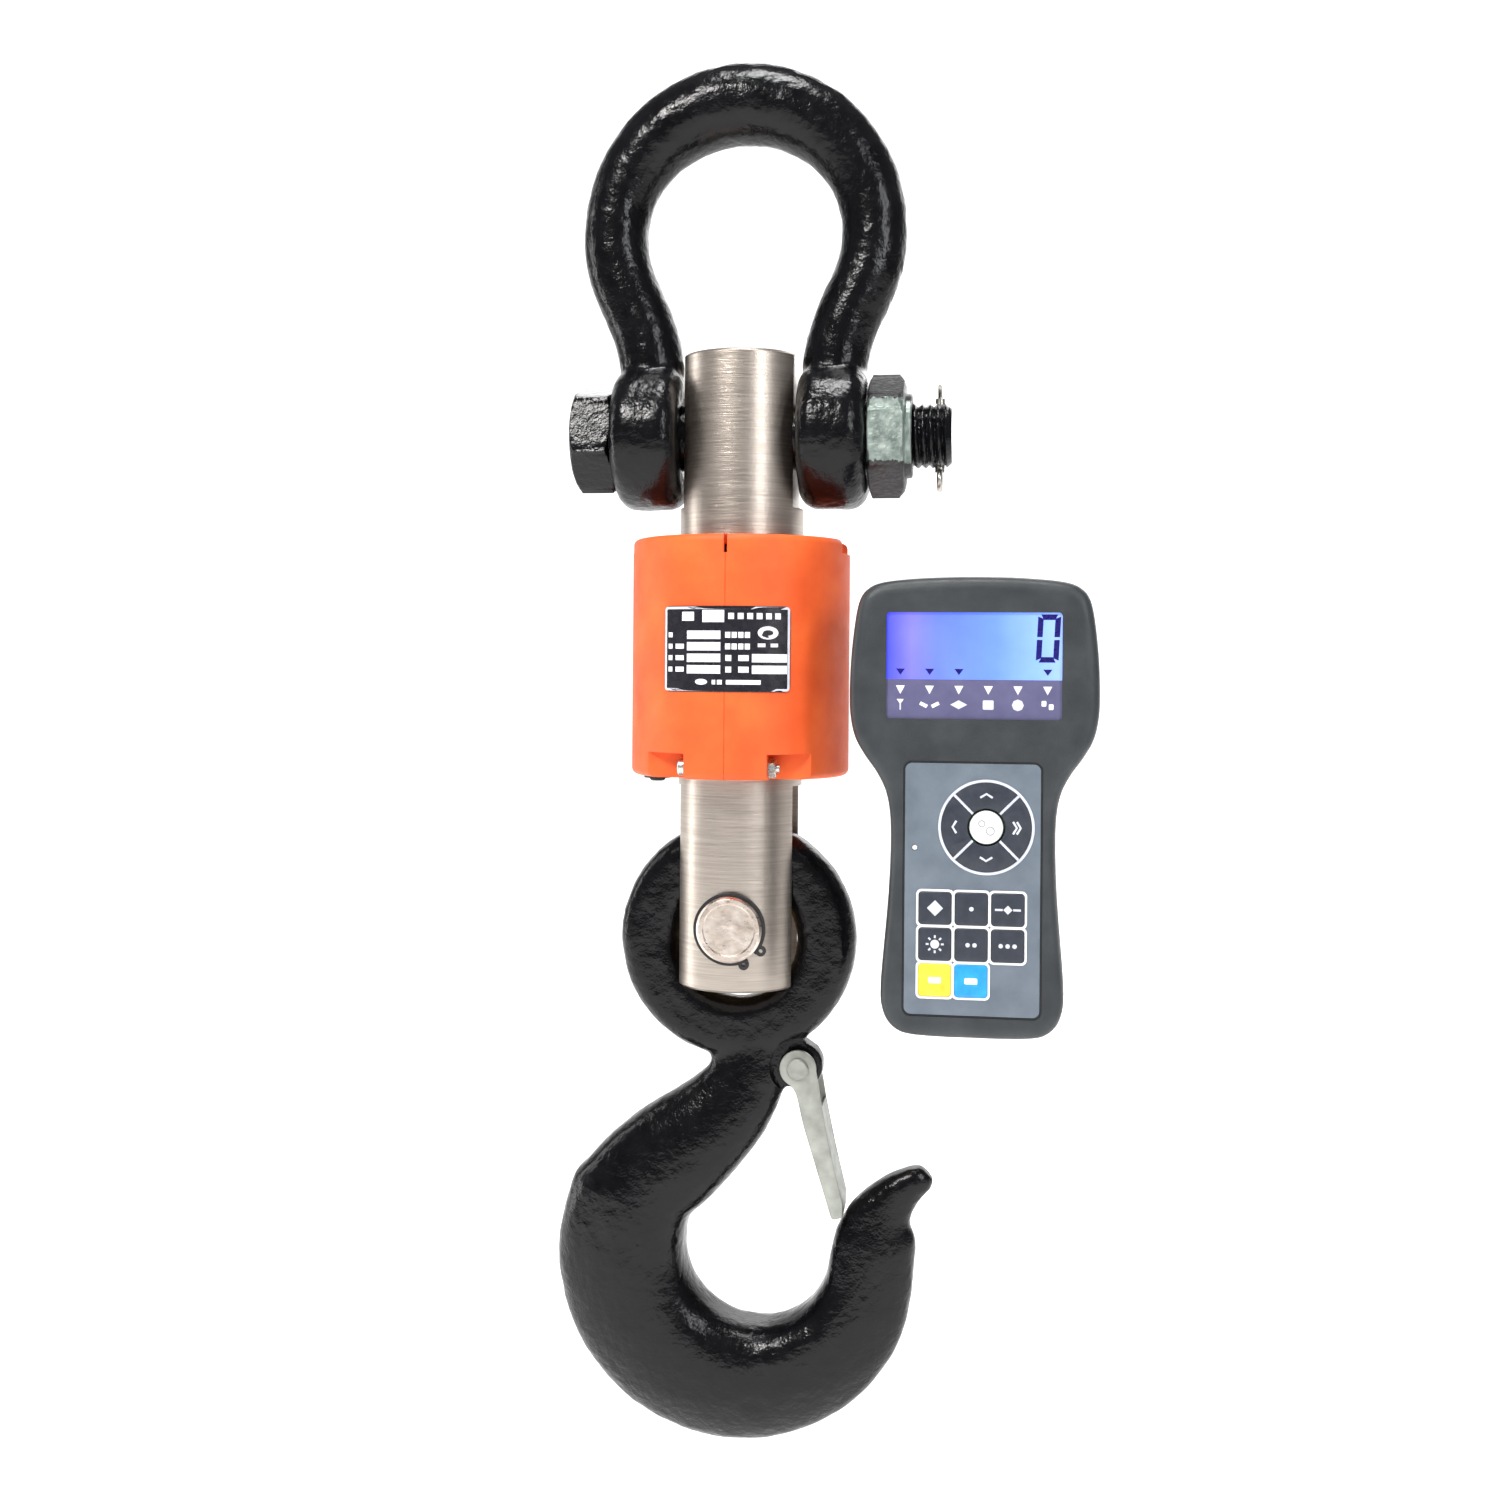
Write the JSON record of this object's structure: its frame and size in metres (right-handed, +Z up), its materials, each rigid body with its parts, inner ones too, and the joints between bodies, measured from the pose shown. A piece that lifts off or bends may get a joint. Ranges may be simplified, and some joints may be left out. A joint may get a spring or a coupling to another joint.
{
  "type": "crane scale",
  "caption": "Link-type crane scale: bow shackle, stainless load bar with orange housing, swinging eye hook with safety latch, and a handheld wireless indicator.",
  "frame": {"origin": "inner crown of the shackle bow, where the scale hangs", "axes": "+Z up along the load line, front towards -Y, +X to the right along the shackle bolt"},
  "size_m": [0.2485, 0.1157, 0.6471],
  "materials": {
    "black_gloss": "glossy black paint over forged steel, slightly lumpy",
    "zinc": "dull zinc plating with dark paint traces",
    "wire_steel": "bright drawn steel",
    "stainless": "satin turned stainless steel",
    "pin_steel": "turned end face with faint rings",
    "spring_black": "blackened spring steel",
    "bronze": "plain bronze",
    "orange": "fine-textured orange moulding",
    "rubber": "black rubber",
    "plate": "black anodised plate with bright border and bars",
    "screw": "bright zinc",
    "foil": "copper foil on film",
    "lead_red": "red insulation",
    "pcb": "green solder mask",
    "cell": "blue shrink sleeve",
    "black_plastic": "black moulding",
    "latch_zinc": "pale zinc-plated pressing",
    "case_charcoal": "satin charcoal moulding",
    "panel_slate": "slate membrane overlay",
    "key_dark": "dark key with pale outline",
    "key_white": "white key",
    "key_yellow": "yellow key",
    "key_blue": "blue key",
    "lcd_glass": "clear window",
    "lcd": "blue backlit display",
    "led": "clear lens",
    "nickel": "nickel"
  },
  "bodies": {
    "shackle": {"shackle_bow": "black_gloss", "shackle_bolt": "black_gloss", "shackle_nut": "zinc", "cotter_pin": "wire_steel"},
    "load_cell": {"load_body": "stainless", "hook_pin": "pin_steel", "circlips": "spring_black", "spacer_sleeve": "bronze", "housing_left": "orange", "housing_right": "orange", "top_seal": "rubber", "bottom_seal": "rubber", "nameplate": "plate", "clamp_screws": "screw", "clamp_nuts": "screw", "side_screws": "screw", "strain_gauges": "foil", "gauge_leads": "lead_red", "transmitter_board": "pcb", "antenna": "black_plastic", "battery_cells": "cell", "battery_holders": "black_plastic", "button_collar": "black_plastic", "charge_socket": "black_plastic"},
    "power_button": {"power_button": "rubber"},
    "dust_cap": {"dust_cap": "rubber"},
    "hook": {"hook": "black_gloss", "latch_pin": "latch_zinc", "latch_spring": "wire_steel"},
    "latch": {"hook_latch": "latch_zinc"},
    "indicator": {"indicator_front_case": "case_charcoal", "indicator_rear_case": "case_charcoal", "edge_seal": "rubber", "display_window": "lcd_glass", "display_module": "lcd", "keypad_panel": "panel_slate", "indicator_board": "pcb", "indicator_battery": "cell", "battery_door": "case_charcoal", "case_screws": "screw", "status_light": "led", "charge_jack": "nickel"},
    "nav_up": {"nav_up": "key_dark"},
    "nav_right": {"nav_right": "key_dark"},
    "nav_down": {"nav_down": "key_dark"},
    "nav_left": {"nav_left": "key_dark"},
    "nav_ok": {"nav_ok": "key_white"},
    "key_1": {"key_1": "key_dark"},
    "key_2": {"key_2": "key_dark"},
    "key_3": {"key_3": "key_dark"},
    "key_4": {"key_4": "key_dark"},
    "key_5": {"key_5": "key_dark"},
    "key_6": {"key_6": "key_dark"},
    "key_yellow": {"key_yellow": "key_yellow"},
    "key_blue": {"key_blue": "key_blue"}
  },
  "joints": [
    {"name": "load_swing", "type": "hinge", "parent": "shackle", "child": "load_cell", "pos_m": [0, 0, -0.138], "axis": [1, 0, 0], "range_deg": [-105, 105]},
    {"name": "hook_swing", "type": "hinge", "parent": "load_cell", "child": "hook", "pos_m": [0, 0, -0.365], "axis": [0, 1, 0], "range_deg": [-90, 90]},
    {"name": "latch_swing", "type": "hinge", "parent": "hook", "child": "latch", "pos_m": [0.0296, 0, -0.4318], "axis": [0, 1, 0], "range_deg": [0, 32], "stiffness_Nm_per_rad": 0.25, "springref_deg": -20.05},
    {"name": "power_press", "type": "slide", "parent": "load_cell", "child": "power_button", "axis": [0, 0, 1], "range_m": [0, 0.0015], "stiffness_N_per_m": 400, "springref_m": -0.001},
    {"name": "dust_cap_pull", "type": "slide", "parent": "load_cell", "child": "dust_cap", "axis": [0, 0, -1], "range_m": [0, 0.012]},
    {"name": "indicator_carry", "type": "slide", "parent": "shackle", "child": "indicator", "axis": [1, 0, 0], "range_m": [0, 0.12]},
    {"name": "nav_up_press", "type": "slide", "parent": "indicator", "child": "nav_up", "axis": [0, 1, 0], "range_m": [0, 0.0006], "stiffness_N_per_m": 500, "springref_m": -0.0005},
    {"name": "nav_right_press", "type": "slide", "parent": "indicator", "child": "nav_right", "axis": [0, 1, 0], "range_m": [0, 0.0006], "stiffness_N_per_m": 500, "springref_m": -0.0005},
    {"name": "nav_down_press", "type": "slide", "parent": "indicator", "child": "nav_down", "axis": [0, 1, 0], "range_m": [0, 0.0006], "stiffness_N_per_m": 500, "springref_m": -0.0005},
    {"name": "nav_left_press", "type": "slide", "parent": "indicator", "child": "nav_left", "axis": [0, 1, 0], "range_m": [0, 0.0006], "stiffness_N_per_m": 500, "springref_m": -0.0005},
    {"name": "nav_ok_press", "type": "slide", "parent": "indicator", "child": "nav_ok", "axis": [0, 1, 0], "range_m": [0, 0.0006], "stiffness_N_per_m": 500, "springref_m": -0.0005},
    {"name": "key_1_press", "type": "slide", "parent": "indicator", "child": "key_1", "axis": [0, 1, 0], "range_m": [0, 0.0006], "stiffness_N_per_m": 500, "springref_m": -0.0005},
    {"name": "key_2_press", "type": "slide", "parent": "indicator", "child": "key_2", "axis": [0, 1, 0], "range_m": [0, 0.0006], "stiffness_N_per_m": 500, "springref_m": -0.0005},
    {"name": "key_3_press", "type": "slide", "parent": "indicator", "child": "key_3", "axis": [0, 1, 0], "range_m": [0, 0.0006], "stiffness_N_per_m": 500, "springref_m": -0.0005},
    {"name": "key_4_press", "type": "slide", "parent": "indicator", "child": "key_4", "axis": [0, 1, 0], "range_m": [0, 0.0006], "stiffness_N_per_m": 500, "springref_m": -0.0005},
    {"name": "key_5_press", "type": "slide", "parent": "indicator", "child": "key_5", "axis": [0, 1, 0], "range_m": [0, 0.0006], "stiffness_N_per_m": 500, "springref_m": -0.0005},
    {"name": "key_6_press", "type": "slide", "parent": "indicator", "child": "key_6", "axis": [0, 1, 0], "range_m": [0, 0.0006], "stiffness_N_per_m": 500, "springref_m": -0.0005},
    {"name": "key_yellow_press", "type": "slide", "parent": "indicator", "child": "key_yellow", "axis": [0, 1, 0], "range_m": [0, 0.0006], "stiffness_N_per_m": 500, "springref_m": -0.0005},
    {"name": "key_blue_press", "type": "slide", "parent": "indicator", "child": "key_blue", "axis": [0, 1, 0], "range_m": [0, 0.0006], "stiffness_N_per_m": 500, "springref_m": -0.0005}
  ]
}
